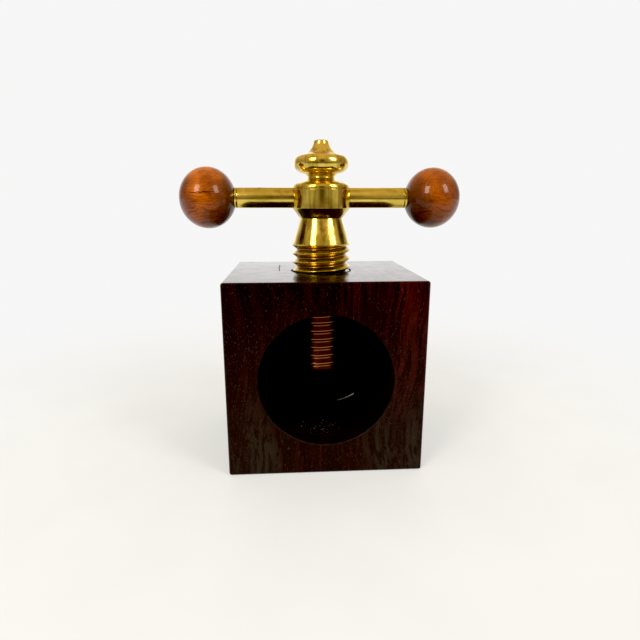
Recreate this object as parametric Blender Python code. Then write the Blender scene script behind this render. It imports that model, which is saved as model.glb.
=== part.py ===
"""Screw nutcracker: a hardwood block with a round nut chamber, and a brass screw with a ball-ended handle.

Metres, +Z up. The origin is the middle of the block's underside, on the screw's axis, and the chamber opens
towards -Y. The handle's arms lie along X. Turning the screw clockwise, seen from above, drives it down.
"""

import math

import bmesh
import bpy
from mathutils import Matrix

MM = 0.001

# Block
BLOCK_WIDTH = 65.0 * MM
BLOCK_DEPTH = 56.0 * MM
BLOCK_HEIGHT = 65.0 * MM
BLOCK_EDGE = 0.8 * MM
CHAMBER_RADIUS = 22.0 * MM
CHAMBER_CENTRE_Z = BLOCK_HEIGHT / 2
CHAMBER_DEPTH = 46.0 * MM
CHAMBER_MOUTH_CHAMFER = 0.4 * MM

# Thread, right-handed
PITCH = 3.0 * MM
CREST_RADIUS = 10.3 * MM
ROOT_RADIUS = 8.75 * MM
CREST_FLAT = 0.35 * MM
ROOT_FLAT = 0.45 * MM
CREST_Z_AT_X = 69.6 * MM  # height of one crest on the +X side
THREAD_CLEARANCE = 0.3 * MM
TURN_STEPS = 24
TURN_OFFSET = 0.4  # of a step; keeps the thread's edges clear of the edges of the turned shapes that cut it

# Spindle, from its tip up
TIP_Z = 29.7 * MM
TIP_RADIUS = 8.9 * MM
TIP_CHAMFER = 1.4 * MM
CONE_BASE_Z = 74.3 * MM
CONE_BASE_RADIUS = 10.15 * MM
WAIST_Z = 83.5 * MM
WAIST_RADIUS = 7.4 * MM
HUB_RADIUS = 10.15 * MM
HUB_LOW_Z = 87.0 * MM
HUB_HIGH_Z = 93.2 * MM
HUB_EDGE = 0.2 * MM
CORE_RADIUS = 8.0 * MM
CONE_SWELL = 0.12 * MM  # how far the cone's side bulges past a straight line
RING_OVERLAP = 0.25 * MM  # how far the thread runs up inside the cone's base

# Handle, measured outwards from the screw's axis
HANDLE_Z = 90.4 * MM
ARM_RADIUS = 3.5 * MM
ARM_EDGE = 0.3 * MM
HUB_SPIGOT_RADIUS = 2.0 * MM
HUB_SPIGOT_END = 3.3 * MM
ARM_OUTER_END = 28.8 * MM
BALL_SPIGOT_RADIUS = 2.0 * MM
BALL_SPIGOT_END = 35.0 * MM
FLANGE_RADIUS = 3.5 * MM
FLANGE_THICKNESS = 0.9 * MM
FLANGE_EDGE = 0.15 * MM
BARREL_RADIUS = 3.0 * MM
BARREL_END = 36.2 * MM
BALL_CENTRE = 39.2 * MM
BALL_HALF_LENGTH = 9.7 * MM
BALL_RADIUS = 10.45 * MM

# Finial
SKIRT_TOP_Z = 95.9 * MM
BULB_LOW_HEIGHT = 3.4 * MM
BULB_HIGH_HEIGHT = 2.5 * MM
BULB_CORE_RADIUS = 6.2 * MM
SKIRT_CORE_RADIUS = 5.8 * MM
STUD_RADIUS = 2.5 * MM
STUD_END_Z = 87.6 * MM
STUD_EDGE = 0.3 * MM
STUD_SOCKET_Z = 87.0 * MM
SKIRT_RADIUS = 9.9 * MM
NECK_RADIUS = 4.7 * MM
NECK_Z = 97.1 * MM
BULB_RADIUS = 9.4 * MM
BULB_Z = 102.0 * MM
NIPPLE_RADIUS = 2.6 * MM
TOP_Z = 109.4 * MM

GAP = 0.25 * MM  # between pieces that seat on one another
CUTTER_REACH = 5.0 * MM  # how far a cutter runs past the face that it cuts
CREST_MARGIN = 0.5 * MM  # how far the envelope stays outside the thread's crests
ROUND_STEPS = 28
SMALL_STEPS = 24
BALL_ARC_STEPS = 15
CHAMBER_STEPS = 72

ROSEWOOD = ("rosewood", (0.035, 0.012, 0.008), 0.3, 0.0)
BALL_WOOD = ("ball_wood", (0.28, 0.075, 0.02), 0.25, 0.0)
BRASS = ("brass", (0.72, 0.5, 0.16), 0.2, 1.0)


def clear_scene():
    for obj in list(bpy.data.objects):
        bpy.data.objects.remove(obj)


def material(name, colour, roughness, metallic):
    made = bpy.data.materials.get(name)
    if made is None:
        made = bpy.data.materials.new(name)
        made.use_nodes = True
        shader = made.node_tree.nodes["Principled BSDF"]
        shader.inputs["Base Color"].default_value = (*colour, 1.0)
        shader.inputs["Roughness"].default_value = roughness
        shader.inputs["Metallic"].default_value = metallic
    return made


def add_object(name, bm, finish=None):
    """An object from a bmesh; one with no finish is a cutter, which isn't a part."""
    bmesh.ops.recalc_face_normals(bm, faces=bm.faces)
    mesh = bpy.data.meshes.new(name)
    bm.to_mesh(mesh)
    bm.free()
    obj = bpy.data.objects.new(name, mesh)
    bpy.context.scene.collection.objects.link(obj)
    if finish is None:
        obj.hide_render = True
        obj.display_type = "WIRE"
    else:
        mesh.materials.append(material(*finish))
        mesh.shade_smooth()
        mesh.set_sharp_from_angle(angle=math.radians(35))
    return obj


def turned(outline, steps=ROUND_STEPS):
    """A bmesh turned about Z from an outline of (radius, z) points that starts and ends on the axis."""
    bm = bmesh.new()
    points = [bm.verts.new((radius, 0, z)) for radius, z in outline]
    edges = [bm.edges.new(pair) for pair in zip(points, points[1:])]
    bmesh.ops.spin(
        bm,
        geom=points + edges,
        axis=(0, 0, 1),
        cent=(0, 0, 0),
        angle=2 * math.pi,
        steps=steps,
        use_merge=True,
    )
    bmesh.ops.remove_doubles(bm, verts=bm.verts, dist=0.001 * MM)
    return bm


def boolean(obj, operation, other):
    """Adds an exact Boolean to obj, worked by the hidden object other."""
    modifier = obj.modifiers.new(f"{operation.lower()} {other.name}", "BOOLEAN")
    modifier.operation = operation
    modifier.solver = "EXACT"
    modifier.object = other


def arc(centre, radii, start_deg, end_deg, count):
    """Points on an ellipse's arc in the (radius, z) plane, ends included."""
    angles = [
        math.radians(start_deg + (end_deg - start_deg) * i / count)
        for i in range(count + 1)
    ]
    return [
        (centre[0] + radii[0] * math.cos(a), centre[1] + radii[1] * math.sin(a))
        for a in angles
    ]


def threaded_rod(low_z, high_z, grow=0.0):
    """A bmesh of a threaded rod, from below low_z to above high_z, its surface moved out by grow."""
    flank = (PITCH - CREST_FLAT - ROOT_FLAT) / 2
    tooth = [
        (ROOT_RADIUS + grow, 0.0),
        (ROOT_RADIUS + grow, ROOT_FLAT),
        (CREST_RADIUS + grow, ROOT_FLAT + flank),
        (CREST_RADIUS + grow, PITCH - flank),
    ]
    count = len(tooth)
    crest_in_tooth = PITCH - flank - CREST_FLAT / 2
    first_turn = math.floor((low_z - CREST_Z_AT_X) / PITCH) - 2
    turns = math.ceil((high_z - low_z) / PITCH) + 4
    start_z = CREST_Z_AT_X - crest_in_tooth + first_turn * PITCH
    bm = bmesh.new()
    angles = [2 * math.pi * (i + TURN_OFFSET) / TURN_STEPS for i in range(TURN_STEPS)]
    rows = []
    for row in range(count * turns + 1):
        radius, rise = tooth[row % count]
        base = start_z + (row // count) * PITCH + rise
        rows.append(
            [
                bm.verts.new(
                    (
                        radius * math.cos(a),
                        radius * math.sin(a),
                        base + PITCH * a / (2 * math.pi),
                    )
                )
                for a in angles
            ]
        )
    for low, high in zip(rows, rows[1:]):
        for i in range(TURN_STEPS - 1):
            bm.faces.new((low[i], low[i + 1], high[i + 1], high[i]))
    # A full turn on, each row meets the row one tooth above it.
    for row in range(len(rows) - 1 - count):
        low, high = rows[row], rows[row + 1]
        low_next, high_next = rows[row + count], rows[row + count + 1]
        bm.faces.new((low[-1], low_next[0], high_next[0], high[-1]))
    close_with_fans(bm)
    return bm


def close_with_fans(bm):
    """Closes a tube's two open ends, each with triangles to a point on the axis beyond it."""
    heights = [v.co.z for v in bm.verts]
    middle = (min(heights) + max(heights)) / 2
    low_tip = bm.verts.new((0, 0, min(heights) - PITCH))
    high_tip = bm.verts.new((0, 0, max(heights) + PITCH))
    for edge in [e for e in bm.edges if e.is_boundary]:
        tip = low_tip if edge.verts[0].co.z < middle else high_tip
        bm.faces.new((*edge.verts, tip))


def rod(radius, low_z, high_z):
    return turned([(0, low_z), (radius, low_z), (radius, high_z), (0, high_z)], SMALL_STEPS)


def sideways(bm, side, z=HANDLE_Z):
    """Lays a turned bmesh along X, pointing to +X or -X by the sign of side, at height z."""
    bm.transform(
        Matrix.Translation((0, 0, z)) @ Matrix.Rotation(side * math.pi / 2, 4, "Y")
    )
    return bm


def build_block():
    bm = bmesh.new()
    bmesh.ops.create_cube(bm, size=1.0)
    bm.transform(
        Matrix.Translation((0, 0, BLOCK_HEIGHT / 2))
        @ Matrix.Diagonal((BLOCK_WIDTH, BLOCK_DEPTH, BLOCK_HEIGHT, 1))
    )
    block = add_object("nut_block", bm, ROSEWOOD)
    bevel = block.modifiers.new("eased edges", "BEVEL")
    bevel.width = BLOCK_EDGE
    bevel.segments = 2
    boolean(block, "DIFFERENCE", chamber_cutter())
    boolean(block, "DIFFERENCE", tap_cutter())


def chamber_cutter():
    """The blind chamber, drilled from the front, with an eased mouth."""
    outline = [
        (0, -CUTTER_REACH),
        (CHAMBER_RADIUS + CHAMBER_MOUTH_CHAMFER + CUTTER_REACH, -CUTTER_REACH),
        (CHAMBER_RADIUS, CHAMBER_MOUTH_CHAMFER),
        (CHAMBER_RADIUS, CHAMBER_DEPTH),
        (0, CHAMBER_DEPTH),
    ]
    bm = turned(outline, CHAMBER_STEPS)
    bm.transform(
        Matrix.Translation((0, -BLOCK_DEPTH / 2, CHAMBER_CENTRE_Z))
        @ Matrix.Rotation(-math.pi / 2, 4, "X")
    )
    return add_object("chamber_cutter", bm)


def tap_cutter():
    """The tapped hole through the block's top, from inside the chamber to above the block."""
    low_z = CHAMBER_CENTRE_Z + CHAMBER_RADIUS / 2
    bm = threaded_rod(low_z, BLOCK_HEIGHT + PITCH, THREAD_CLEARANCE)
    return add_object("tap_cutter", bm)


def build_spindle():
    spindle = add_object("screw_spindle", threaded_rod(TIP_Z, CONE_BASE_Z), BRASS)
    boolean(spindle, "INTERSECT", thread_envelope())
    boolean(spindle, "UNION", head_body())
    cross_hole = sideways(rod(HUB_SPIGOT_RADIUS + GAP, -2 * HUB_RADIUS, 2 * HUB_RADIUS), 1)
    boolean(spindle, "DIFFERENCE", add_object("cross_hole_cutter", cross_hole))
    socket = rod(STUD_RADIUS + GAP, STUD_SOCKET_Z, HUB_HIGH_Z + CUTTER_REACH)
    boolean(spindle, "DIFFERENCE", add_object("stud_socket_cutter", socket))


def thread_envelope():
    """What the thread is cut to: a chamfered tip below, and a plain core that runs up into the cone."""
    clear = CREST_RADIUS + CREST_MARGIN
    step_z = CONE_BASE_Z + RING_OVERLAP
    outline = [
        (0, TIP_Z),
        (TIP_RADIUS, TIP_Z),
        (clear, TIP_Z + TIP_CHAMFER * (clear - TIP_RADIUS) / (CREST_RADIUS - TIP_RADIUS)),
        (clear, step_z),
        (CORE_RADIUS, step_z),
        (CORE_RADIUS, CONE_BASE_Z + PITCH),
        (0, CONE_BASE_Z + PITCH),
    ]
    return add_object("thread_envelope", turned(outline, TURN_STEPS))


def head_body():
    """The spindle above its thread: the cone, the waist, and the hub that carries the arms."""
    cone_middle = (
        (CONE_BASE_RADIUS + WAIST_RADIUS) / 2 + CONE_SWELL,
        (CONE_BASE_Z + WAIST_Z) / 2,
    )
    outline = [
        (0, CONE_BASE_Z),
        (CONE_BASE_RADIUS - HUB_EDGE, CONE_BASE_Z),
        (CONE_BASE_RADIUS, CONE_BASE_Z + HUB_EDGE),
        cone_middle,
        (WAIST_RADIUS, WAIST_Z),
        (HUB_RADIUS - HUB_EDGE, HUB_LOW_Z - HUB_EDGE),
        (HUB_RADIUS, HUB_LOW_Z),
        (HUB_RADIUS, HUB_HIGH_Z - HUB_EDGE),
        (HUB_RADIUS - HUB_EDGE, HUB_HIGH_Z),
        (0, HUB_HIGH_Z),
    ]
    return add_object("head_body", turned(outline))


def build_finial():
    """Stud, domed skirt, neck, bulb and nipple, all turned from one bar."""
    seat_z = HUB_HIGH_Z + GAP
    skirt_edge_z = seat_z + 0.4 * MM
    skirt = (SKIRT_RADIUS - SKIRT_CORE_RADIUS, SKIRT_TOP_Z - skirt_edge_z)
    bulb_width = BULB_RADIUS - BULB_CORE_RADIUS
    outline = [(0, STUD_END_Z), (STUD_RADIUS - STUD_EDGE, STUD_END_Z)]
    outline += [(STUD_RADIUS, STUD_END_Z + STUD_EDGE), (STUD_RADIUS, seat_z)]
    outline += [(SKIRT_RADIUS, seat_z)]
    outline += arc((SKIRT_CORE_RADIUS, skirt_edge_z), skirt, 0, 80, 5)
    outline += [(NECK_RADIUS + 0.4 * MM, NECK_Z - 0.8 * MM)]
    outline += [(NECK_RADIUS, NECK_Z), (NECK_RADIUS + 0.4 * MM, NECK_Z + 0.8 * MM)]
    outline += arc((BULB_CORE_RADIUS, BULB_Z), (bulb_width, BULB_LOW_HEIGHT), -75, 0, 5)
    outline += arc((BULB_CORE_RADIUS, BULB_Z), (bulb_width, BULB_HIGH_HEIGHT), 18, 72, 3)
    outline += [(5.2 * MM, 105.2 * MM), (4.2 * MM, 106.0 * MM), (3.3 * MM, 107.1 * MM)]
    outline += [(2.8 * MM, 108.1 * MM), (NIPPLE_RADIUS, 108.7 * MM)]
    outline += [(NIPPLE_RADIUS - 0.7 * MM, TOP_Z), (0, TOP_Z)]
    add_object("finial", turned(outline), BRASS)


def build_arm(name, side):
    """One arm: a spigot that screws into the hub, the plain rod, and a spigot for the ball's insert."""
    shoulder = HUB_RADIUS + GAP
    outline = [
        (0, HUB_SPIGOT_END),
        (HUB_SPIGOT_RADIUS - ARM_EDGE, HUB_SPIGOT_END),
        (HUB_SPIGOT_RADIUS, HUB_SPIGOT_END + ARM_EDGE),
        (HUB_SPIGOT_RADIUS, shoulder),
        (ARM_RADIUS - ARM_EDGE, shoulder),
        (ARM_RADIUS, shoulder + ARM_EDGE),
        (ARM_RADIUS, ARM_OUTER_END - ARM_EDGE),
        (ARM_RADIUS - ARM_EDGE, ARM_OUTER_END),
        (BALL_SPIGOT_RADIUS, ARM_OUTER_END),
        (BALL_SPIGOT_RADIUS, BALL_SPIGOT_END - ARM_EDGE),
        (BALL_SPIGOT_RADIUS - ARM_EDGE, BALL_SPIGOT_END),
        (0, BALL_SPIGOT_END),
    ]
    add_object(name, sideways(turned(outline, SMALL_STEPS), side), BRASS)


def build_insert(name, side):
    """The flanged bush in the ball, bored for the arm's spigot."""
    flange_in = ARM_OUTER_END + GAP
    flange_out = flange_in + FLANGE_THICKNESS
    bore_radius = BALL_SPIGOT_RADIUS + GAP
    bore_end = BALL_SPIGOT_END + GAP
    outline = [
        (0, bore_end),
        (bore_radius, bore_end),
        (bore_radius, flange_in),
        (FLANGE_RADIUS - FLANGE_EDGE, flange_in),
        (FLANGE_RADIUS, flange_in + FLANGE_EDGE),
        (FLANGE_RADIUS, flange_out - FLANGE_EDGE),
        (FLANGE_RADIUS - FLANGE_EDGE, flange_out),
        (BARREL_RADIUS, flange_out),
        (BARREL_RADIUS, BARREL_END),
        (0, BARREL_END),
    ]
    add_object(name, sideways(turned(outline, SMALL_STEPS), side), BRASS)


def build_ball(name, side):
    """The wooden ball, flat where it meets the flange, bored for the insert's barrel."""
    flat = ARM_OUTER_END + FLANGE_THICKNESS + 2 * GAP
    bore_radius = BARREL_RADIUS + GAP
    bore_end = BARREL_END + GAP
    flat_angle = math.degrees(math.asin((BALL_CENTRE - flat) / BALL_HALF_LENGTH))
    outline = [(0, bore_end), (bore_radius, bore_end), (bore_radius, flat)]
    outline += arc((0, BALL_CENTRE), (BALL_RADIUS, BALL_HALF_LENGTH), -flat_angle, 90, BALL_ARC_STEPS)
    outline[-1] = (0, BALL_CENTRE + BALL_HALF_LENGTH)
    add_object(name, sideways(turned(outline), side), BALL_WOOD)


clear_scene()
build_block()
build_spindle()
build_finial()
for side_name, side_sign in (("left", -1), ("right", 1)):
    build_arm(f"arm_{side_name}", side_sign)
    build_insert(f"ball_insert_{side_name}", side_sign)
    build_ball(f"ball_{side_name}", side_sign)
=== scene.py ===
"""The looks of a screw nutcracker.

It has a polished rosewood block, a brass screw and handle, and two wooden balls.
"""

import math

import bmesh
import bpy
from mathutils import Matrix, Vector, noise


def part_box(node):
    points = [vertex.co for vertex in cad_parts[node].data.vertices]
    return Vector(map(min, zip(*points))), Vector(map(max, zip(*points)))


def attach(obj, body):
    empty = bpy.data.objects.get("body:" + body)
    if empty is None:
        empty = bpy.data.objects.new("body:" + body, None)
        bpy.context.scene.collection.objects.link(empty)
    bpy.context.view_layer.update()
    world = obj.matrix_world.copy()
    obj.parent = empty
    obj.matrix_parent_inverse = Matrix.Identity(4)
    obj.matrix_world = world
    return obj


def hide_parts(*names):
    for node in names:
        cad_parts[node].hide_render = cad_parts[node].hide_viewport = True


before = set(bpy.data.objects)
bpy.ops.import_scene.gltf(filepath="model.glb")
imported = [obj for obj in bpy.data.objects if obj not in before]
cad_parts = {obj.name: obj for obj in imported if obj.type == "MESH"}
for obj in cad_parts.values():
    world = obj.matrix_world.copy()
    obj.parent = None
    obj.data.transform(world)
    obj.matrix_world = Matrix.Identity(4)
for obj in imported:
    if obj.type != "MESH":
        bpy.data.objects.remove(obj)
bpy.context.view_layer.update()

MM = 0.001

# Places, from the frame
BLOCK_LOW, BLOCK_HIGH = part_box("nut_block")
SPINDLE_LOW, SPINDLE_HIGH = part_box("screw_spindle")
FINIAL_LOW, FINIAL_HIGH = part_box("finial")
ARM_LOW, ARM_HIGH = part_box("arm_right")
INSERT_LOW, INSERT_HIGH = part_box("ball_insert_right")
BALL_LOW, BALL_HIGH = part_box("ball_right")
HANDLE_Z = (ARM_LOW.z + ARM_HIGH.z) / 2

# Block
BLOCK_EDGE = 0.8 * MM
CHAMBER_RADIUS = 22.0 * MM
CHAMBER_DEPTH = 46.0 * MM
CHAMBER_LIP = 0.35 * MM
CHAMBER_LIP_FILLET = CHAMBER_LIP * 0.6
CHAMBER_FLOOR_FILLET = 0.6 * MM

# The torn wood round the hole
RIM_STEPS = 180
RIM_CLEARANCE = 0.02 * MM
RIM_FOOT_DEPTH = 0.3 * MM
RIM_SHOULDER_DEPTH = 0.05 * MM
RIM_HEIGHT = (0.2, 0.22, 0.14)  # mm: the mean, and how far fine and coarse noise move it
RIM_WIDTH = (0.42, 0.3, 0.3)  # the same
RIM_CREST_OUT = 0.45  # where the rim is highest, as a share of its width
RIM_INNER_HEIGHT = 0.7  # its height at the hole, as a share of the highest
FINE_WAVES, FINE_LEVEL = 9, 0.5  # the circle in the noise that each unevenness is read along
COARSE_WAVES, COARSE_LEVEL = 3, 4.0

# Marks on the wood, as places in the frame, the crack's as places from the ball's centre.
# A pair of distances is where a mark starts to fade and where it is gone.
CHECK_X = -14.8 * MM
CHECK_Y = 7.0 * MM
CHECK_WAVER = 0.8 * MM
CHECK_HALF_WIDTH = (0.08 * MM, 0.22 * MM)
CHECK_HALF_LENGTH = (7 * MM, 10.5 * MM)
SCRATCH_START = Vector((0.0071, 0.0059, 0.0117))
SCRATCH_END = Vector((0.0129, 0.0045, 0.0147))
SCRATCH_WIDTHS = (0.3 * MM, 0.8 * MM)  # at its start and its end
DUST_CENTRE = (-0.002, -0.015, 0.0115)
DUST_RADIUS = (4 * MM, 9.5 * MM)
CRACK_X = -0.6 * MM
CRACK_Z = 1.2 * MM
CRACK_WAVER = 0.9 * MM
CRACK_HALF_WIDTH = (0.09 * MM, 0.26 * MM)
CRACK_HALF_LENGTH = (2.6 * MM, 4.8 * MM)

# A bored surface is further in than SKIN from the faces it opens in, and than WALL from the rest.
SKIN = 0.01 * MM
WALL = 1 * MM

# Thread
PITCH = 3.0 * MM
CREST_RADIUS = 10.3 * MM
ROOT_RADIUS = 8.75 * MM
CREST_FLAT = 0.35 * MM
ROOT_FLAT = 0.45 * MM
CREST_FILLET = 0.16 * MM
ROOT_FILLET = 0.3 * MM
CREST_Z_AT_X = 69.6 * MM
THREAD_CLEARANCE = 0.1 * MM
THREAD_RUN_IN = 0.3 * MM  # how far the thread goes on inside the cone's ring
TURN_STEPS = 96
# Part of a step. It keeps the thread's edges off the edges of the turned shapes that cut it.
TURN_OFFSET = 0.4
SPARE_TURNS = 2  # at each end

# Spindle
TIP_CHAMFER = 1.3 * MM
TIP_FILLET = 0.15 * MM
CLEAR_OF_CREST = 0.5 * MM
CONE_BASE_Z = 74.3 * MM
CONE_BASE_RADIUS = 10.1 * MM
RING_HEIGHT = 0.5 * MM
RING_STEP = 0.25 * MM
RING_FILLET = 0.12 * MM
CONE_START_IN = 0.15 * MM
CONE_START_UP = 0.6 * MM
CONE_CURVE = [(9.2, 77.4), (8.35, 80.0)]  # (radius, height) in mm
WAIST_Z = 83.4 * MM
WAIST_RADIUS = 7.4 * MM
FLARE_STEP = 0.1 * MM  # from the waist out and up to where the flare starts
HUB_RADIUS = 10.15 * MM
HUB_LOW_Z = 87.0 * MM
HUB_LOW_DROP = 0.1 * MM
HUB_LOW_FILLET = 0.2 * MM
HUB_TOP_FILLET = 0.15 * MM
CORE_RADIUS = 8.0 * MM
SPIGOT_HOLE_RADIUS = 2.25 * MM
SOCKET_RADIUS = 2.75 * MM
SOCKET_Z = 87.0 * MM

# Handle
ARM_RADIUS = (ARM_HIGH.z - ARM_LOW.z) / 2
ARM_SHOULDER = 9.0 * MM
ARM_END_FILLET = 0.2 * MM
HUB_SPIGOT_RADIUS = 2.0 * MM
HUB_SPIGOT_OVERLAP = 1 * MM
BALL_SPIGOT_RADIUS = 2.0 * MM
SPIGOT_FILLET = 0.25 * MM
BARREL_RADIUS = 3.0 * MM
BARREL_FILLET = 0.2 * MM
INSERT_MOUTH_FILLET = 0.1 * MM
FLANGE_THICKNESS = 0.9 * MM
FLANGE_FILLET = 0.12 * MM
GAP = 0.25 * MM
SEATED = 0.04 * MM  # between faces screwed up tight
BALL_RADIUS = (BALL_HIGH.z - BALL_LOW.z) / 2
BALL_HALF_LENGTH = 9.7 * MM
BALL_CENTRE = BALL_HIGH.x - BALL_HALF_LENGTH
# Each side's name and sign, its ball's growth-ring centre, how dark its palest wood is, and
# whether it is cracked
SIDES = [
    ("left", -1, (-2.0 * MM, 13.0 * MM), 0.0, True),
    ("right", 1, (3.0 * MM, 2.0 * MM), 0.42, False),
]

# Finial
STUD_RADIUS = 2.5 * MM
STUD_FILLET = 0.3 * MM
SEAT_RADIUS = 10.0 * MM
SEAT_FILLET = 0.12 * MM
SEAT_HEIGHT = 0.6 * MM
# The skirt, the neck, the bulb and up to the nipple, as (radius, height) in mm
FINIAL_CURVE = [
    (9.95, 94.1),
    (9.65, 94.7),
    (8.8, 95.2),
    (7.3, 95.7),
    (5.8, 96.15),
    (5.0, 96.6),
    (4.7, 97.2),
    (4.85, 97.75),
    (5.7, 98.35),
    (7.2, 98.8),
    (8.5, 99.55),
    (9.25, 100.6),
    (9.5, 101.85),
    (9.25, 103.1),
    (8.45, 104.0),
    (7.0, 104.6),
    (5.4, 105.15),
    (4.2, 105.95),
    (3.3, 107.0),
    (2.75, 108.1),
]
NIPPLE_RADIUS = 2.65 * MM
NIPPLE_Z = 108.4 * MM
NIPPLE_TOP_RADIUS = 2.45 * MM
NIPPLE_FILLET = 0.6 * MM

# Steps and tolerances of the meshes
CUTTER_REACH = 5.0 * MM
LATHE_STEPS = 160
FINE_STEPS = 96
BALL_STEPS = 72
ARC_STEPS = 4
THREAD_ARC_STEPS = 3
CURVE_STEPS = 6
BEVEL_STEPS = 5
WELD = 0.001 * MM
SHARP_ANGLE = math.radians(32)

# Studio
BACKGROUND = (0.924, 0.924, 0.922)
# What the object reflects of the room, alike on both sides: (degrees from the front, colour)
ROOM = [
    (0, (0.05, 0.035, 0.02)),
    (7, (0.07, 0.05, 0.03)),
    (15, (0.25, 0.22, 0.165)),
    (60, (0.33, 0.31, 0.26)),
    (86, (0.22, 0.20, 0.17)),
    (122, (0.17, 0.155, 0.13)),
    (148, (0.80, 0.79, 0.77)),
    (180, (0.95, 0.95, 0.94)),
]
ROOM_STRENGTH = 1.7
CEILING = (0.40, 0.31, 0.19)
CEILING_FROM, CEILING_TO = 0.2, 0.7  # the height of the direction in which walls turn to ceiling
FILL = (0.93, 0.92, 0.895)  # what the room gives to diffuse surfaces
FLOOR_RADIUS = 3.0
FLOOR_STEPS = 96
TABLE_PALE = (0.735, 0.71, 0.645)
TABLE_DARK = (0.71, 0.68, 0.61)
TABLE_EDGE = (0.20, 0.15, 0.09)  # what lies past the table top, in reflections only
TABLE_EDGE_Y = (-0.13, -0.40)  # from table top to what lies past it
FADE_DISTANCE = (0.05, 0.26)  # over which the table top fades
# The share of the table top's glow near the object and far off; the glow near it is painted light on
# its shadows
FADE_SHARE = (0.42, 1.0)
BLACK_LEVEL = (0.0035, 0.0045, 0.0060)
# The softboxes' (name, azimuth in degrees, power in watts)
SOFTBOXES = [("softbox_left", -40, 5.0), ("softbox_right", 49, 3.9)]
SOFTBOX_DISTANCE = 1.0
SOFTBOX_WIDTH = 0.31
SOFTBOX_HEIGHT = 0.46
SOFTBOX_ELEVATION = math.radians(30)
CAMERA_PLACE = (-0.01096, -0.17121, 0.08804)
CAMERA_PITCH_DOWN = 0.23846  # radians
CAMERA_TURN_RIGHT = 0.06158
CAMERA_LENS = 26.67
CAMERA_SENSOR = 36.0
CAMERA_CLIP = (0.005, 20.0)


# Outlines and meshes


def in_mm(points):
    return [(radius * MM, height * MM) for radius, height in points]


def rounded(points, arc_steps=ARC_STEPS):
    """An outline through (radius, height, fillet) points, each corner rounded by its fillet."""
    outline = []
    for i, (radius, height, fillet) in enumerate(points):
        corner = Vector((radius, height))
        if fillet == 0:
            outline.append(corner)
            continue
        back = (Vector(points[i - 1][:2]) - corner).normalized()
        on = (Vector(points[i + 1][:2]) - corner).normalized()
        half = back.angle(on) / 2
        centre = corner + (back + on).normalized() * (fillet / math.sin(half))
        first = corner + back * (fillet / math.tan(half)) - centre
        last = corner + on * (fillet / math.tan(half)) - centre
        for k in range(arc_steps + 1):
            outline.append(centre + first.lerp(last, k / arc_steps).normalized() * fillet)
    return outline


def flowing(points):
    """A smooth curve through (radius, height) points."""
    points = [Vector(p) for p in points]
    before = points[0] * 2 - points[1]
    after = points[-1] * 2 - points[-2]
    padded = [before, *points, after]
    outline = []
    for a, b, c, d in zip(padded, padded[1:], padded[2:], padded[3:]):
        squared = a * 2 - b * 5 + c * 4 - d
        cubed = b * 3 - a - c * 3 + d
        for k in range(CURVE_STEPS):
            t = k / CURVE_STEPS
            outline.append((b * 2 + (c - a) * t + squared * t**2 + cubed * t**3) / 2)
    return [*outline, points[-1]]


def turned(outline, steps=LATHE_STEPS):
    """A bmesh turned about Z from an outline that starts and ends on the axis."""
    bm = bmesh.new()
    points = [bm.verts.new((radius, 0, height)) for radius, height in outline]
    edges = [bm.edges.new(pair) for pair in zip(points, points[1:])]
    bmesh.ops.spin(
        bm,
        geom=points + edges,
        axis=(0, 0, 1),
        cent=(0, 0, 0),
        angle=2 * math.pi,
        steps=steps,
        use_merge=True,
    )
    bmesh.ops.remove_doubles(bm, verts=bm.verts, dist=WELD)
    return bm


def sideways(bm, side):
    """Lays a turned bmesh along the handle, pointing to +X or -X by the sign of side."""
    quarter_turn = Matrix.Rotation(side * math.pi / 2, 4, "Y")
    bm.transform(Matrix.Translation((0, 0, HANDLE_Z)) @ quarter_turn)
    return bm


def mesh_object(name, bm):
    bmesh.ops.recalc_face_normals(bm, faces=bm.faces)
    mesh = bpy.data.meshes.new(name)
    bm.to_mesh(mesh)
    bm.free()
    obj = bpy.data.objects.new(name, mesh)
    bpy.context.scene.collection.objects.link(obj)
    return obj


def cut(obj, operation, bm):
    """Applies an exact Boolean to obj with a bmesh, which is used up."""
    other = mesh_object("cutter", bm)
    modifier = obj.modifiers.new(operation, "BOOLEAN")
    modifier.operation = operation
    modifier.solver = "EXACT"
    modifier.object = other
    apply_modifiers(obj)
    bpy.data.objects.remove(other)


def apply_modifiers(obj):
    evaluated = obj.evaluated_get(bpy.context.evaluated_depsgraph_get())
    mesh = bpy.data.meshes.new_from_object(evaluated)
    obj.modifiers.clear()
    obj.data = mesh


def finish_piece(obj, node, body, material):
    """Smooth shading, its material, and its place in the frame."""
    obj.data.materials.clear()
    obj.data.materials.append(material)
    obj.data.shade_smooth()
    obj.data.set_sharp_from_angle(angle=SHARP_ANGLE)
    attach(obj, body)
    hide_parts(node)
    return obj


def tooth_outline(grow):
    """One tooth of the thread, root to root, as (radius, rise) points."""
    flank = (PITCH - CREST_FLAT - ROOT_FLAT) / 2
    root = ROOT_RADIUS + grow
    crest = CREST_RADIUS + grow
    corners = [
        (root, 0, 0),
        (root, ROOT_FLAT, ROOT_FILLET),
        (crest, ROOT_FLAT + flank, CREST_FILLET),
        (crest, PITCH - flank, CREST_FILLET),
        (root, PITCH, ROOT_FILLET),
        (root, PITCH + ROOT_FLAT, 0),
    ]
    outline = [(point.x, point.y) for point in rounded(corners, THREAD_ARC_STEPS)]
    below = [point for point in outline if point[1] < PITCH + ROOT_FLAT / 2]
    return [point for point in below if point[1] >= ROOT_FLAT / 2]


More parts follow.
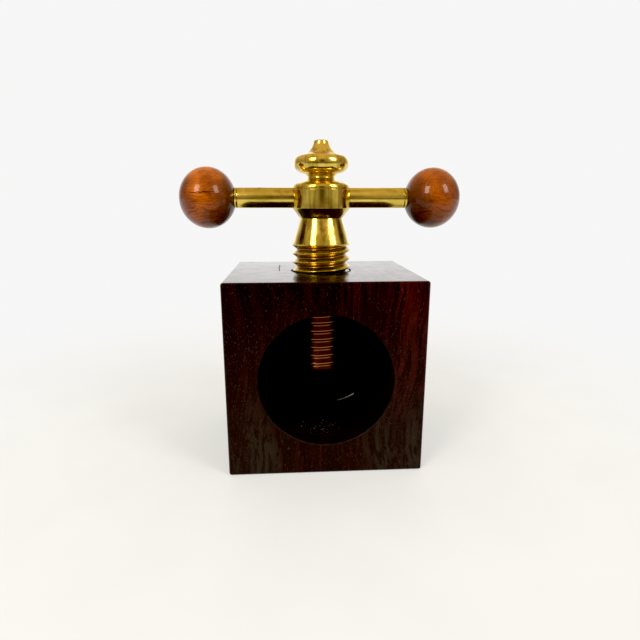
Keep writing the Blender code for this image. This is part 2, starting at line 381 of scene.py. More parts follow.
def threaded_rod(low_z, high_z, grow=0.0):
    """A bmesh of a threaded rod from below low_z to above high_z, its surface moved out by grow."""
    tooth = tooth_outline(grow)
    count = len(tooth)
    crest_in_tooth = ROOT_FLAT + (PITCH - ROOT_FLAT) / 2
    first_turn = math.floor((low_z - CREST_Z_AT_X) / PITCH) - SPARE_TURNS
    turns = math.ceil((high_z - low_z) / PITCH) + 2 * SPARE_TURNS
    start_z = CREST_Z_AT_X - crest_in_tooth + first_turn * PITCH
    angles = [2 * math.pi * (i + TURN_OFFSET) / TURN_STEPS for i in range(TURN_STEPS)]
    bm = bmesh.new()
    rows = []
    for row in range(count * turns + 1):
        radius, rise = tooth[row % count]
        base = start_z + (row // count) * PITCH + rise
        ring = []
        for a in angles:
            place = (radius * math.cos(a), radius * math.sin(a), base + PITCH * a / (2 * math.pi))
            ring.append(bm.verts.new(place))
        rows.append(ring)
    for low, high in zip(rows, rows[1:]):
        for i in range(TURN_STEPS - 1):
            bm.faces.new((low[i], low[i + 1], high[i + 1], high[i]))
    # A full turn on, each row meets the row one tooth above it.
    for row in range(len(rows) - 1 - count):
        above = row + count
        bm.faces.new((rows[row][-1], rows[above][0], rows[above + 1][0], rows[row + 1][-1]))
    close_with_fans(bm)
    return bm


def close_with_fans(bm):
    """Closes a tube's two ends, each with triangles to a point on the axis beyond it."""
    heights = [v.co.z for v in bm.verts]
    middle = (min(heights) + max(heights)) / 2
    low_tip = bm.verts.new((0, 0, min(heights) - PITCH))
    high_tip = bm.verts.new((0, 0, max(heights) + PITCH))
    for edge in [e for e in bm.edges if e.is_boundary]:
        tip = low_tip if edge.verts[0].co.z < middle else high_tip
        bm.faces.new((*edge.verts, tip))


# Pieces


def make_block(polished, bare):
    size = BLOCK_HIGH - BLOCK_LOW
    middle = (BLOCK_HIGH + BLOCK_LOW) / 2
    bm = bmesh.new()
    bmesh.ops.create_cube(bm, size=1.0)
    bm.transform(Matrix.Translation(middle) @ Matrix.Diagonal((*size, 1)))
    bmesh.ops.bevel(
        bm,
        geom=bm.edges[:],
        offset=BLOCK_EDGE,
        offset_type="OFFSET",
        segments=BEVEL_STEPS,
        profile=0.5,
        affect="EDGES",
    )
    block = mesh_object("rosewood_block", bm)
    cut(block, "UNION", broken_rim())
    cut(block, "DIFFERENCE", chamber_tool(middle.z))
    tap = threaded_rod(middle.z + CHAMBER_RADIUS / 2, BLOCK_HIGH.z + PITCH, THREAD_CLEARANCE)
    cut(block, "DIFFERENCE", tap)
    finish_piece(block, "nut_block", "block", polished)
    block.data.materials.append(bare)
    for face in block.data.polygons:
        face.material_index = int(is_bored(face.center, middle.z))
    flat_normals = block.modifiers.new("flat faces stay flat", "WEIGHTED_NORMAL")
    flat_normals.keep_sharp = True
    return block


def uneven(mean_and_swings, fine, coarse):
    """A length in metres, from its mean and its swings in mm and two values of noise."""
    mean, fine_swing, coarse_swing = mean_and_swings
    return (mean + fine_swing * fine + coarse_swing * coarse) * MM


def ring_noise(a, waves, level):
    return noise.noise(Vector((waves * math.cos(a), waves * math.sin(a), level)))


def broken_rim():
    """A bmesh of the torn wood that the tap leaves round the hole.

    It is a low ring, uneven in height and width.
    """
    inner = CREST_RADIUS + THREAD_CLEARANCE + RIM_CLEARANCE
    top = BLOCK_HIGH.z
    bm = bmesh.new()
    hoops = []
    for i in range(RIM_STEPS):
        a = 2 * math.pi * i / RIM_STEPS
        fine = ring_noise(a, FINE_WAVES, FINE_LEVEL)
        coarse = ring_noise(a, COARSE_WAVES, COARSE_LEVEL)
        height = uneven(RIM_HEIGHT, fine, coarse)
        width = uneven(RIM_WIDTH, fine, coarse)
        section = [
            (inner, top - RIM_FOOT_DEPTH),
            (inner + width, top - RIM_FOOT_DEPTH),
            (inner + width, top - RIM_SHOULDER_DEPTH),
            (inner + width * RIM_CREST_OUT, top + height),
            (inner, top + height * RIM_INNER_HEIGHT),
        ]
        hoops.append([bm.verts.new((r * math.cos(a), r * math.sin(a), z)) for r, z in section])
    for here, there in zip(hoops, hoops[1:] + hoops[:1]):
        for k in range(len(here)):
            on = (k + 1) % len(here)
            bm.faces.new((here[k], here[on], there[on], there[k]))
    return bm


def is_bored(point, chamber_z):
    """Whether a point of the block's surface is in the chamber, in the tapped hole or on its rim."""
    from_chamber = math.hypot(point.x, point.z - chamber_z)
    from_screw = math.hypot(point.x, point.y)
    within_depth = BLOCK_LOW.y + SKIN < point.y < BLOCK_HIGH.y - WALL
    within_height = BLOCK_LOW.z + WALL < point.z < BLOCK_HIGH.z - SKIN
    in_chamber = from_chamber < CHAMBER_RADIUS + CHAMBER_LIP and within_depth
    in_hole = from_screw < CREST_RADIUS + WALL and within_height
    on_rim = point.z > BLOCK_HIGH.z + SKIN
    return in_chamber or in_hole or on_rim


def chamber_tool(centre_z):
    """A bmesh of the chamber, with a flared lip at its mouth and a small fillet at its end wall."""
    reach = CHAMBER_RADIUS + CUTTER_REACH
    outline = rounded(
        [
            (0, -CUTTER_REACH, 0),
            (reach, -CUTTER_REACH, 0),
            (reach, 0, 0),
            (CHAMBER_RADIUS + CHAMBER_LIP, 0, 0),
            (CHAMBER_RADIUS, CHAMBER_LIP, CHAMBER_LIP_FILLET),
            (CHAMBER_RADIUS, CHAMBER_DEPTH, CHAMBER_FLOOR_FILLET),
            (0, CHAMBER_DEPTH, 0),
        ]
    )
    bm = turned(outline)
    to_the_back = Matrix.Rotation(-math.pi / 2, 4, "X")
    bm.transform(Matrix.Translation((0, BLOCK_LOW.y, centre_z)) @ to_the_back)
    return bm


def make_spindle(material):
    clear = CREST_RADIUS + CLEAR_OF_CREST
    tip_z = SPINDLE_LOW.z
    step_z = CONE_BASE_Z + THREAD_RUN_IN
    tip_radius = CREST_RADIUS - TIP_CHAMFER
    envelope = rounded(
        [
            (0, tip_z, 0),
            (tip_radius, tip_z, TIP_FILLET),
            (clear, tip_z + clear - tip_radius, 0),
            (clear, step_z, 0),
            (CORE_RADIUS, step_z, 0),
            (CORE_RADIUS, CONE_BASE_Z + PITCH, 0),
            (0, CONE_BASE_Z + PITCH, 0),
        ]
    )
    spindle = mesh_object("brass_screw", threaded_rod(tip_z, CONE_BASE_Z))
    cut(spindle, "INTERSECT", turned(envelope))
    cut(spindle, "UNION", turned(head_outline()))
    cross_hole = rounded(rod_points(SPIGOT_HOLE_RADIUS, -2 * HUB_RADIUS, 2 * HUB_RADIUS))
    cut(spindle, "DIFFERENCE", sideways(turned(cross_hole, FINE_STEPS), 1))
    socket = rounded(rod_points(SOCKET_RADIUS, SOCKET_Z, SPINDLE_HIGH.z + CUTTER_REACH))
    cut(spindle, "DIFFERENCE", turned(socket, FINE_STEPS))
    return finish_piece(spindle, "screw_spindle", "screw", material)


def rod_points(radius, low, high):
    return [(0, low, 0), (radius, low, 0), (radius, high, 0), (0, high, 0)]


def head_outline():
    """The spindle above its thread: the cone with its base ring, the waist, and the hub."""
    foot = rounded(
        [
            (0, CONE_BASE_Z, 0),
            (CONE_BASE_RADIUS, CONE_BASE_Z, RING_FILLET),
            (CONE_BASE_RADIUS, CONE_BASE_Z + RING_HEIGHT, RING_FILLET),
            (CONE_BASE_RADIUS - RING_STEP, CONE_BASE_Z + RING_HEIGHT, 0),
        ]
    )
    cone_start = (CONE_BASE_RADIUS - CONE_START_IN, CONE_BASE_Z + CONE_START_UP)
    cone = flowing([cone_start, *in_mm(CONE_CURVE), (WAIST_RADIUS, WAIST_Z)])
    hub = rounded(
        [
            (WAIST_RADIUS + FLARE_STEP, WAIST_Z + FLARE_STEP, 0),
            (HUB_RADIUS, HUB_LOW_Z - HUB_LOW_DROP, HUB_LOW_FILLET),
            (HUB_RADIUS, SPINDLE_HIGH.z, HUB_TOP_FILLET),
            (0, SPINDLE_HIGH.z, 0),
        ]
    )
    return foot[:-1] + cone + hub


def make_finial(material):
    """Stud, domed skirt, neck, bulb and nipple, all turned from one bar."""
    seat_z = SPINDLE_HIGH.z + SEATED
    top_z = FINIAL_HIGH.z
    stud = rounded(
        [
            (0, FINIAL_LOW.z, 0),
            (STUD_RADIUS, FINIAL_LOW.z, STUD_FILLET),
            (STUD_RADIUS, seat_z, 0),
            (SEAT_RADIUS, seat_z, SEAT_FILLET),
            (SEAT_RADIUS, seat_z + SEAT_HEIGHT, 0),
        ]
    )
    nipple = rounded(
        [
            (NIPPLE_RADIUS, NIPPLE_Z, 0),
            (NIPPLE_TOP_RADIUS, top_z, NIPPLE_FILLET),
            (0, top_z, 0),
        ]
    )
    outline = stud[:-1] + flowing(in_mm(FINIAL_CURVE)) + nipple
    finial = mesh_object("brass_finial", turned(outline))
    return finish_piece(finial, "finial", "finial", material)


def make_arm(name, node, side, material):
    """A rod whose shoulder is coped to the round hub, with a spigot at each end."""
    outer = INSERT_LOW.x - SEATED
    rod_outline = rounded(
        [
            (0, ARM_SHOULDER, 0),
            (ARM_RADIUS, ARM_SHOULDER, 0),
            (ARM_RADIUS, outer, ARM_END_FILLET),
            (BALL_SPIGOT_RADIUS, outer, 0),
            (BALL_SPIGOT_RADIUS, ARM_HIGH.x, SPIGOT_FILLET),
            (0, ARM_HIGH.x, 0),
        ]
    )
    spigot_end = HUB_RADIUS + HUB_SPIGOT_OVERLAP
    spigot_outline = rounded(
        [
            (0, ARM_LOW.x, 0),
            (HUB_SPIGOT_RADIUS, ARM_LOW.x, SPIGOT_FILLET),
            (HUB_SPIGOT_RADIUS, spigot_end, 0),
            (0, spigot_end, 0),
        ]
    )
    arm = mesh_object(name, sideways(turned(rod_outline, FINE_STEPS), side))
    hub = rounded(rod_points(HUB_RADIUS + SEATED, HUB_LOW_Z, SPINDLE_HIGH.z))
    cut(arm, "DIFFERENCE", turned(hub))
    cut(arm, "UNION", sideways(turned(spigot_outline, FINE_STEPS), side))
    return finish_piece(arm, node, "screw", material)


def make_insert(name, node, side, material):
    bore_radius = BALL_SPIGOT_RADIUS + GAP
    bore_end = ARM_HIGH.x + GAP
    flange_radius = (INSERT_HIGH.z - INSERT_LOW.z) / 2
    flange_out = INSERT_LOW.x + FLANGE_THICKNESS
    outline = rounded(
        [
            (0, bore_end, 0),
            (bore_radius, bore_end, 0),
            (bore_radius, INSERT_LOW.x, INSERT_MOUTH_FILLET),
            (flange_radius, INSERT_LOW.x, FLANGE_FILLET),
            (flange_radius, flange_out, FLANGE_FILLET),
            (BARREL_RADIUS, flange_out, 0),
            (BARREL_RADIUS, INSERT_HIGH.x, BARREL_FILLET),
            (0, INSERT_HIGH.x, 0),
        ]
    )
    insert = mesh_object(name, sideways(turned(outline, FINE_STEPS), side))
    return finish_piece(insert, node, "screw", material)


def make_ball(name, node, side, material):
    flat = INSERT_LOW.x + FLANGE_THICKNESS + SEATED
    bore_radius = BARREL_RADIUS + GAP
    bore_end = INSERT_HIGH.x + GAP
    start = math.asin((BALL_CENTRE - flat) / BALL_HALF_LENGTH)
    outline = [(0, bore_end), (bore_radius, bore_end), (bore_radius, flat)]
    for i in range(BALL_STEPS):
        a = -start + (start + math.pi / 2) * i / BALL_STEPS
        reach = BALL_CENTRE + BALL_HALF_LENGTH * math.sin(a)
        outline.append((BALL_RADIUS * math.cos(a), reach))
    outline.append((0, BALL_HIGH.x))
    ball = mesh_object(name, sideways(turned(outline), side))
    return finish_piece(ball, node, "screw", material)


# Materials


class Graph:
    """The nodes of a material or a world, made one by one.

    An input given as a socket is linked, and anything else is its value.
    """

    def __init__(self, owner):
        self.owner = owner
        owner.use_nodes = True
        self.tree = owner.node_tree
        self.shader = self.tree.nodes.get("Principled BSDF")

    def set(self, node, inputs):
        for key, value in inputs.items():
            socket = node.inputs[key]
            if isinstance(value, bpy.types.NodeSocket):
                self.tree.links.new(value, socket)
            else:
                socket.default_value = value

    def add(self, kind, inputs=None, **settings):
        node = self.tree.nodes.new(f"ShaderNode{kind}")
        for key, value in settings.items():
            setattr(node, key, value)
        self.set(node, inputs or {})
        return node

    def place(self):
        return self.add("TexCoord").outputs["Object"]

    def axis(self, vector, name):
        return self.add("SeparateXYZ", {"Vector": vector}).outputs[name]

    def stretched(self, vector, scale, location=(0, 0, 0)):
        inputs = {"Vector": vector, "Location": location, "Scale": scale}
        return self.add("Mapping", inputs).outputs["Vector"]

    def noise(self, vector, scale, detail=3.0, roughness=0.5, distortion=0.0):
        inputs = {
            "Vector": vector,
            "Scale": scale,
            "Detail": detail,
            "Roughness": roughness,
            "Distortion": distortion,
        }
        return self.add("TexNoise", inputs).outputs["Fac"]

    def warped(self, vector, scale, detail, amount):
        """vector moved about by noise, by up to half of amount each way."""
        inputs = {"Vector": vector, "Scale": scale, "Detail": detail}
        wander = self.add("TexNoise", inputs).outputs["Color"]
        centred = self.vectors("SUBTRACT", {0: wander, 1: (0.5, 0.5, 0.5)})
        drift = self.vectors("SCALE", {0: centred, "Scale": amount})
        return self.vectors("ADD", {0: vector, 1: drift})

    def vectors(self, operation, inputs, output="Vector"):
        return self.add("VectorMath", inputs, operation=operation).outputs[output]

    def maths(self, operation, a, b=0.0, clamp=False):
        return self.add("Math", {0: a, 1: b}, operation=operation, use_clamp=clamp).outputs["Value"]

    def span(self, value, low, high, to_low=0.0, to_high=1.0):
        """value eased from the range low..high to the range to_low..to_high, held at its ends."""
        inputs = {
            "Value": value,
            "From Min": low,
            "From Max": high,
            "To Min": to_low,
            "To Max": to_high,
        }
        return self.add("MapRange", inputs, interpolation_type="SMOOTHSTEP").outputs["Result"]

    def mix(self, share, a, b):
        node = self.add("Mix", data_type="RGBA")
        colours = [c if isinstance(c, bpy.types.NodeSocket) else (*c, 1.0) for c in (a, b)]
        self.set(node, {0: share, 6: colours[0], 7: colours[1]})
        return node.outputs[2]

    def bump(self, height, strength, distance):
        inputs = {"Height": height, "Strength": strength, "Distance": distance}
        return self.add("Bump", inputs).outputs["Normal"]


def material_graph(name):
    return Graph(bpy.data.materials.new(name))


def rosewood():
    """Near-black wood, its grain upright: dark figure, red and olive streaks, fine pale pores."""
    black = (0.0010, 0.0005, 0.0007)
    brown = (0.0115, 0.0023, 0.0022)
    red = (0.038, 0.0036, 0.0032)
    olive = (0.0125, 0.0112, 0.0062)
    pale_pore = (0.058, 0.032, 0.031)
    check_black = (0.001, 0.001, 0.001)
    g = material_graph("rosewood")
    place = g.place()
    x, z = g.axis(place, "X"), g.axis(place, "Z")
    warped = g.warped(place, 22.0, 1.0, 20 * MM)
    upright = g.stretched(warped, (1.0, 1.0, 0.11))
    hairline = g.stretched(warped, (1.0, 1.0, 0.04))
    pore_shape = g.stretched(warped, (1.0, 1.0, 0.45))
    figure = g.noise(upright, 230.0, 5.0, 0.66, 0.5)
    streak = g.noise(hairline, 900.0, 3.0, 0.6)
    pores = g.span(g.noise(pore_shape, 3100.0, 1.0), 0.63, 0.72)
    check = top_check(g, place)

    base = g.mix(g.span(figure, 0.42, 0.64), black, brown)
    # Redder to the upper right
    to_right = g.span(x, 0.0, 32 * MM)
    to_top = g.span(z, 12 * MM, 62 * MM)
    red_share = g.maths("MULTIPLY", to_right, to_top)
    red_share = g.maths("MULTIPLY", red_share, g.span(figure, 0.34, 0.6))
    base = g.mix(red_share, base, red)
    # Olive streaks low down, away from the middle
    low = g.span(z, 36 * MM, 4 * MM)
    off_centre = g.span(g.maths("ABSOLUTE", x), 4 * MM, 20 * MM)
    streaky = g.span(g.noise(upright, 60.0, 2.0), 0.36, 0.56)
    olive_share = g.maths("MULTIPLY", g.maths("MULTIPLY", low, streaky), off_centre)
    base = g.mix(olive_share, base, olive)
    base = g.mix(g.span(streak, 0.38, 0.58, 0.92, 0.0), base, black)
    base = g.mix(g.maths("MULTIPLY", pores, 0.4), base, pale_pore)
    base = g.mix(check, base, check_black)

    relief = g.maths("ADD", g.maths("MULTIPLY", streak, 0.6), g.maths("MULTIPLY", pores, -0.7))
    relief = g.maths("SUBTRACT", relief, g.maths("MULTIPLY", check, 6.0))
    polish = g.span(figure, 0.3, 0.7, 0.20, 0.13)
    g.set(
        g.shader,
        {
            "Base Color": base,
            "Roughness": g.maths("ADD", polish, g.maths("MULTIPLY", check, 0.5)),
            "IOR": 1.36,
            "Specular Tint": (0.50, 0.20, 0.20, 1.0),
            "Normal": g.bump(relief, 0.05, 0.05 * MM),
        },
    )
    return g.owner


def top_check(g, place):
    """1 along a fine drying check in the block's top, left of the screw, and 0 elsewhere."""
    waver = g.maths("MULTIPLY", g.noise(place, 180.0, 2.0), CHECK_WAVER)
    from_line = g.maths("ADD", g.axis(place, "X"), g.maths("SUBTRACT", waver, CHECK_X))
    from_middle = g.maths("SUBTRACT", g.axis(place, "Y"), CHECK_Y)
    line = g.span(g.maths("ABSOLUTE", from_line), *CHECK_HALF_WIDTH, 1.0, 0.0)
    ends = g.span(g.maths("ABSOLUTE", from_middle), *CHECK_HALF_LENGTH, 1.0, 0.0)
    on_top = g.span(g.axis(place, "Z"), 62 * MM, 64 * MM)
    return g.maths("MULTIPLY", g.maths("MULTIPLY", line, ends), on_top)


def scratch(g, place):
    """The share of a short pale scratch on the chamber's wall, low on the right."""
    along = SCRATCH_END - SCRATCH_START
    from_start = g.vectors("SUBTRACT", {0: place, 1: SCRATCH_START})
    per_length = {0: from_start, 1: along / along.length_squared}
    share = g.vectors("DOT_PRODUCT", per_length, "Value")
    share = g.maths("ADD", share, 0.0, clamp=True)
    nearest = g.vectors("SCALE", {0: along, "Scale": share})
    apart = g.vectors("DISTANCE", {0: from_start, 1: nearest}, "Value")
    width = g.span(share, 0.0, 1.0, *SCRATCH_WIDTHS)
    return g.span(g.maths("DIVIDE", apart, width), 0.5, 1.0, 0.85, 0.0)


def bare_rosewood():
    """The bored surfaces: dark and unpolished, with faint rings from the cutter and some dust."""
    dark = (0.0018, 0.0009, 0.0007)
    brown = (0.009, 0.0035, 0.0022)
    scratched = (0.50, 0.48, 0.44)
    dust = (0.20, 0.19, 0.17)
    g = material_graph("rosewood_bare")
    place = g.place()
    fibre = g.noise(g.stretched(place, (1.0, 1.0, 0.08)), 700.0, 3.0, 0.6)
    rings = g.noise(g.stretched(place, (0.05, 1.0, 0.05)), 2400.0, 2.0, 0.6)
    specks = g.span(g.noise(place, 1300.0, 1.0), 0.66, 0.71)
    from_dust = g.vectors("DISTANCE", {0: place, 1: DUST_CENTRE}, "Value")
    dusty = g.span(from_dust, *DUST_RADIUS, 0.7, 0.0)
    base = g.mix(g.span(fibre, 0.35, 0.7), dark, brown)
    base = g.mix(scratch(g, place), base, scratched)
    base = g.mix(g.maths("MULTIPLY", specks, dusty), base, dust)
    relief = g.maths("ADD", g.maths("MULTIPLY", fibre, 0.6), g.maths("MULTIPLY", rings, 0.5))
    g.set(
        g.shader,
        {
            "Base Color": base,
            "Roughness": g.span(fibre, 0.3, 0.7, 0.62, 0.5),
            "Specular IOR Level": 0.12,
            "Normal": g.bump(relief, 0.3, 0.05 * MM),
        },
    )
    return g.owner


def ball_wood(name, centre_x, side, ring_centre, least_dark, cracked):
    """Polished reddish-brown wood: curved growth rings, fine fibres, and on one ball a crack."""
    amber = (0.50, 0.108, 0.0010)
    russet = (0.150, 0.025, 0.0006)
    umber = (0.024, 0.0030, 0.0006)
    crack_black = (0.006, 0.001, 0.0005)
    g = material_graph(name)
    local = g.stretched(g.place(), (1.0, 1.0, 1.0), (-centre_x, 0.0, -HANDLE_Z))
    x, z = g.axis(local, "X"), g.axis(local, "Z")
    warped = g.warped(local, 120.0, 2.0, 3.5 * MM)
    ringed = g.stretched(warped, (1.0, 0.35, 1.0), (-ring_centre[0], 0.0, -ring_centre[1]))
    wave = {"Vector": ringed, "Scale": 330.0, "Distortion": 1.2, "Detail": 3.0, "Detail Scale": 3.0}
    rings = g.add("TexWave", wave, wave_type="RINGS", rings_direction="Y").outputs["Fac"]
    fibres = g.noise(g.stretched(warped, (0.12, 0.4, 1.0)), 1500.0, 3.0, 0.65)
    flecks = g.noise(g.stretched(warped, (0.5, 1.0, 1.0)), 2000.0, 2.0)
    cloud = g.noise(warped, 120.0, 3.0, 0.55)

    base = g.mix(g.span(cloud, 0.34, 0.66, least_dark, 0.85), amber, russet)
    # Painted shade: deeper russet towards the bottom
    base = g.mix(g.span(z, 3 * MM, -7 * MM, 0.0, 0.45), base, russet)
    # Painted shade: darker towards the arm, along a slant, and again at the outer end
    inward = g.maths("MULTIPLY", x, -side)
    slanted = g.maths("ADD", inward, g.maths("MULTIPLY", z, -0.45))
    shade_to_arm = g.span(slanted, -0.5 * MM, 10.5 * MM)
    shade_at_end = g.span(inward, -2.5 * MM, -9.0 * MM, 0.0, 0.85)
    base = g.mix(g.maths("MULTIPLY", shade_to_arm, 0.92), base, umber)
    base = g.mix(shade_at_end, base, g.mix(0.5, russet, umber))
    base = g.mix(g.span(rings, 0.3, 0.95, 0.0, 0.22), base, umber)
    more_below = g.span(z, 4 * MM, -5 * MM, 0.3, 0.75)
    fibre_share = g.maths("MULTIPLY", g.span(fibres, 0.44, 0.66), more_below)
    base = g.mix(fibre_share, base, umber)
    base = g.mix(g.span(flecks, 0.60, 0.70, 0.0, 0.6), base, umber)
    relief = g.maths("ADD", g.maths("MULTIPLY", fibres, 0.4), g.maths("MULTIPLY", flecks, 0.9))
    if cracked:
        crack = hairline_crack(g, local)
        base = g.mix(g.maths("MULTIPLY", crack, 0.97), base, crack_black)
        relief = g.maths("SUBTRACT", relief, crack)
    g.set(
        g.shader,
        {
            "Base Color": base,
            "Roughness": g.span(flecks, 0.3, 0.7, 0.26, 0.36),
            "IOR": 1.30,
            "Specular Tint": (0.75, 0.40, 0.20, 1.0),
            "Coat Weight": 0.7,
            "Coat Roughness": 0.06,
            "Coat IOR": 1.34,
            "Normal": g.bump(relief, 0.35, 0.1 * MM),
        },
    )
    return g.owner


def hairline_crack(g, local):
    """1 along a thin wavering line across the ball's front, just above its middle, else 0."""
    waver = g.noise(g.stretched(local, (1.0, 0.2, 0.2)), 420.0, 2.0)
    height = g.maths("ADD", g.axis(local, "Z"), g.maths("MULTIPLY", waver, -CRACK_WAVER))
    from_line = g.maths("SUBTRACT", height, CRACK_Z)
    from_middle = g.maths("SUBTRACT", g.axis(local, "X"), CRACK_X)
    line = g.span(g.maths("ABSOLUTE", from_line), *CRACK_HALF_WIDTH, 1.0, 0.0)
    ends = g.span(g.maths("ABSOLUTE", from_middle), *CRACK_HALF_LENGTH, 1.0, 0.0)
    front = g.span(g.axis(local, "Y"), -4 * MM, -6 * MM)
    return g.maths("MULTIPLY", line, g.maths("MULTIPLY", ends, front))


def brass(name, along, threaded):
    """Polished brass with the lathe's fine rings, which lie square to the axis named by along.

    The threaded brass is darker in its grooves, from grime and painted shade, and coppery inside the
    block, a painted reflection.
    """
    clean = (0.84, 0.62, 0.135)
    olive = (0.50, 0.37, 0.045)
    umber = (0.26, 0.115, 0.009)
    reflected_wood_copper = (0.27, 0.092, 0.050)
    turning = (0.02, 0.02, 1.0) if along == "Z" else (1.0, 0.02, 0.02)
    lengthwise = (1.0, 1.0, 0.05) if along == "Z" else (0.05, 1.0, 1.0)
    g = material_graph(name)
    place = g.place()
    lathe = g.noise(g.stretched(place, turning), 6500.0, 2.0, 0.6)
    handling = g.noise(place, 160.0, 4.0, 0.6)
    stain = g.noise(place, 70.0, 3.0, 0.6)
    dark_streak_reflections = g.noise(g.stretched(place, lengthwise), 520.0, 3.0, 0.6)
    base = g.mix(g.span(stain, 0.42, 0.64, 0.0, 0.6), clean, olive)
    # Painted reflections: dark lengthwise streaks, olive to umber, as of dark bands in the room
    base = g.mix(g.span(dark_streak_reflections, 0.46, 0.62, 0.0, 0.72), base, g.mix(0.55, olive, umber))
    base = g.mix(g.span(handling, 0.54, 0.74, 0.0, 0.6), base, umber)
    roughness = g.span(handling, 0.3, 0.75, 0.11, 0.26)
    if threaded:
        flat = g.stretched(place, (1.0, 1.0, 0.0))
        radius = g.vectors("LENGTH", {0: flat}, "Value")
        height = g.axis(place, "Z")
        # Grime and painted shade: the thread darkens towards its roots, and a little even at its
        # crests
        depth = g.span(radius, CREST_RADIUS - 0.05 * MM, ROOT_RADIUS + 0.1 * MM, 0.25, 1.0)
        in_thread = g.span(height, CONE_BASE_Z + 0.1 * MM, CONE_BASE_Z - 0.1 * MM)
        groove_grime_and_shade = g.maths("MULTIPLY", depth, in_thread)
        # Painted reflection and shade: coppery inside the block, as the screw mirrors the dark red
        # wood round it
        chamber_reflection_share = g.span(height, BLOCK_HIGH.z, BLOCK_HIGH.z - 7 * MM)
        base = g.mix(g.maths("MULTIPLY", groove_grime_and_shade, 0.85), base, umber)
        base = g.mix(g.maths("MULTIPLY", chamber_reflection_share, 0.9), base, reflected_wood_copper)
        roughness = g.maths("ADD", roughness, g.maths("MULTIPLY", groove_grime_and_shade, 0.06))
    g.set(
        g.shader,
        {
            "Base Color": base,
            "Metallic": 1.0,
            "Roughness": roughness,
            "Normal": g.bump(lathe, 0.10, 0.02 * MM),
        },
    )
    return g.owner


# Studio


def make_floor():
    """A pale table top that fades into the background."""
    bm = bmesh.new()
    bmesh.ops.create_circle(bm, cap_ends=True, radius=FLOOR_RADIUS, segments=FLOOR_STEPS)
    floor = mesh_object("floor", bm)
    g = material_graph("table_top")
    place = g.place()
    mottle = g.span(g.noise(place, 35.0, 3.0), 0.3, 0.7)
    base = g.mix(mottle, TABLE_DARK, TABLE_PALE)
    g.set(g.shader, {"Base Color": base, "Roughness": 0.6, "Specular IOR Level": 0.2})
    past_edge = g.span(g.axis(place, "Y"), *TABLE_EDGE_Y)
    reflected = g.mix(past_edge, BACKGROUND, TABLE_EDGE)
    seen = g.add("LightPath").outputs["Is Camera Ray"]
    colour = g.mix(seen, reflected, BACKGROUND)
    painted_glow = g.add("Emission", {"Color": colour, "Strength": 1.0}).outputs["Emission"]
    # Painted light: the table top glows, 42 % even next to the object, which lifts the shadows on it
    distance = g.vectors("LENGTH", {0: place}, "Value")
    fade = g.span(distance, *FADE_DISTANCE, *FADE_SHARE)
    layers = {0: fade, 1: g.shader.outputs["BSDF"], 2: painted_glow}
    blend = g.add("MixShader", layers).outputs["Shader"]
    g.set(g.tree.nodes["Material Output"], {"Surface": blend})
    floor.data.materials.append(g.owner)


def make_world():
    """A pale room: plain to the camera, and one flat light to diffuse surfaces.

    To reflections it is bright behind the object and dim in front and at the sides.
    """
    world = bpy.data.worlds.new("studio")
    bpy.context.scene.world = world
    g = Graph(world)
    g.tree.nodes.clear()
    direction = g.add("TexCoord").outputs["Generated"]
    ahead = g.maths("MULTIPLY", g.axis(direction, "Y"), -1.0)
    azimuth = g.maths("ARCTAN2", g.axis(direction, "X"), ahead)
    half_turns = g.maths("ABSOLUTE", g.maths("DIVIDE", azimuth, math.pi))
    ramp = g.add("ValToRGB", {"Fac": half_turns})
    elements = ramp.color_ramp.elements
    elements[-1].position = 1.0
    for degrees, _ in ROOM[1:-1]:
        elements.new(degrees / 180)
    for element, (_, colour) in zip(elements, ROOM):
        element.color = (*colour, 1.0)
    up = g.span(g.axis(direction, "Z"), CEILING_FROM, CEILING_TO)
    walls = g.mix(up, ramp.outputs["Color"], CEILING)
    room = background(g, walls, ROOM_STRENGTH)
    fill = background(g, (*FILL, 1.0), 1.0)
    plain = background(g, (*BACKGROUND, 1.0), 1.0)
    path = g.add("LightPath").outputs
    mixed = g.add("MixShader", {0: path["Is Diffuse Ray"], 1: room, 2: fill}).outputs["Shader"]
    mixed = g.add("MixShader", {0: path["Is Camera Ray"], 1: mixed, 2: plain}).outputs["Shader"]
    g.add("OutputWorld", {"Surface": mixed})


def background(g, colour, strength):
    return g.add("Background", {"Color": colour, "Strength": strength}).outputs["Background"]


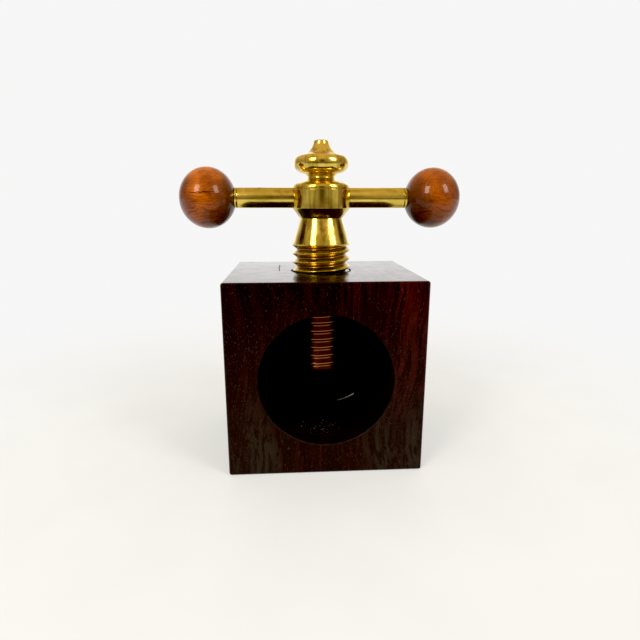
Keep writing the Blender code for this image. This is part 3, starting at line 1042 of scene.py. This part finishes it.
def add_softbox(name, azimuth_degrees, power):
    """A soft light that faces the object. Azimuth 0 is in front of it, and grows to the right."""
    light = bpy.data.lights.new(name, "AREA")
    light.shape = "RECTANGLE"
    light.size = SOFTBOX_WIDTH
    light.size_y = SOFTBOX_HEIGHT
    light.energy = power
    lamp = bpy.data.objects.new(name, light)
    azimuth = math.radians(azimuth_degrees)
    away = Vector(
        (
            math.sin(azimuth) * math.cos(SOFTBOX_ELEVATION),
            -math.cos(azimuth) * math.cos(SOFTBOX_ELEVATION),
            math.sin(SOFTBOX_ELEVATION),
        )
    )
    lamp.location = Vector((0, 0, HANDLE_Z)) + away * SOFTBOX_DISTANCE
    lamp.rotation_euler = (-away).to_track_quat("-Z", "Y").to_euler()
    lamp.visible_camera = False
    bpy.context.scene.collection.objects.link(lamp)


def make_lights():
    for name, azimuth_degrees, power in SOFTBOXES:
        add_softbox(name, azimuth_degrees, power)


def make_camera():
    data = bpy.data.cameras.new("camera")
    data.lens = CAMERA_LENS
    data.sensor_width = CAMERA_SENSOR
    data.clip_start, data.clip_end = CAMERA_CLIP
    camera = bpy.data.objects.new("camera", data)
    camera.location = CAMERA_PLACE
    camera.rotation_euler = (math.pi / 2 - CAMERA_PITCH_DOWN, 0.0, -CAMERA_TURN_RIGHT)
    bpy.context.scene.collection.objects.link(camera)
    bpy.context.scene.camera = camera


def set_display():
    """A plain display transform, with the deepest shadows taken to black as in a product shot."""
    view = bpy.context.scene.view_settings
    view.view_transform = "Standard"
    view.use_curve_mapping = True
    view.curve_mapping.black_level = BLACK_LEVEL
    view.curve_mapping.update()


make_camera()
make_world()
make_lights()
make_floor()
brass_upright = brass("brass_upright", "Z", threaded=True)
brass_across = brass("brass_across", "X", threaded=False)
make_block(rosewood(), bare_rosewood())
make_spindle(brass_upright)
make_finial(brass_upright)
for name, side, ring_centre, least_dark, cracked in SIDES:
    make_arm(f"brass_arm_{name}", f"arm_{name}", side, brass_across)
    make_insert(f"brass_flange_{name}", f"ball_insert_{name}", side, brass_across)
    centre_x = side * BALL_CENTRE
    wood = ball_wood(f"ball_wood_{name}", centre_x, side, ring_centre, least_dark, cracked)
    make_ball(f"wooden_ball_{name}", f"ball_{name}", side, wood)
set_display()
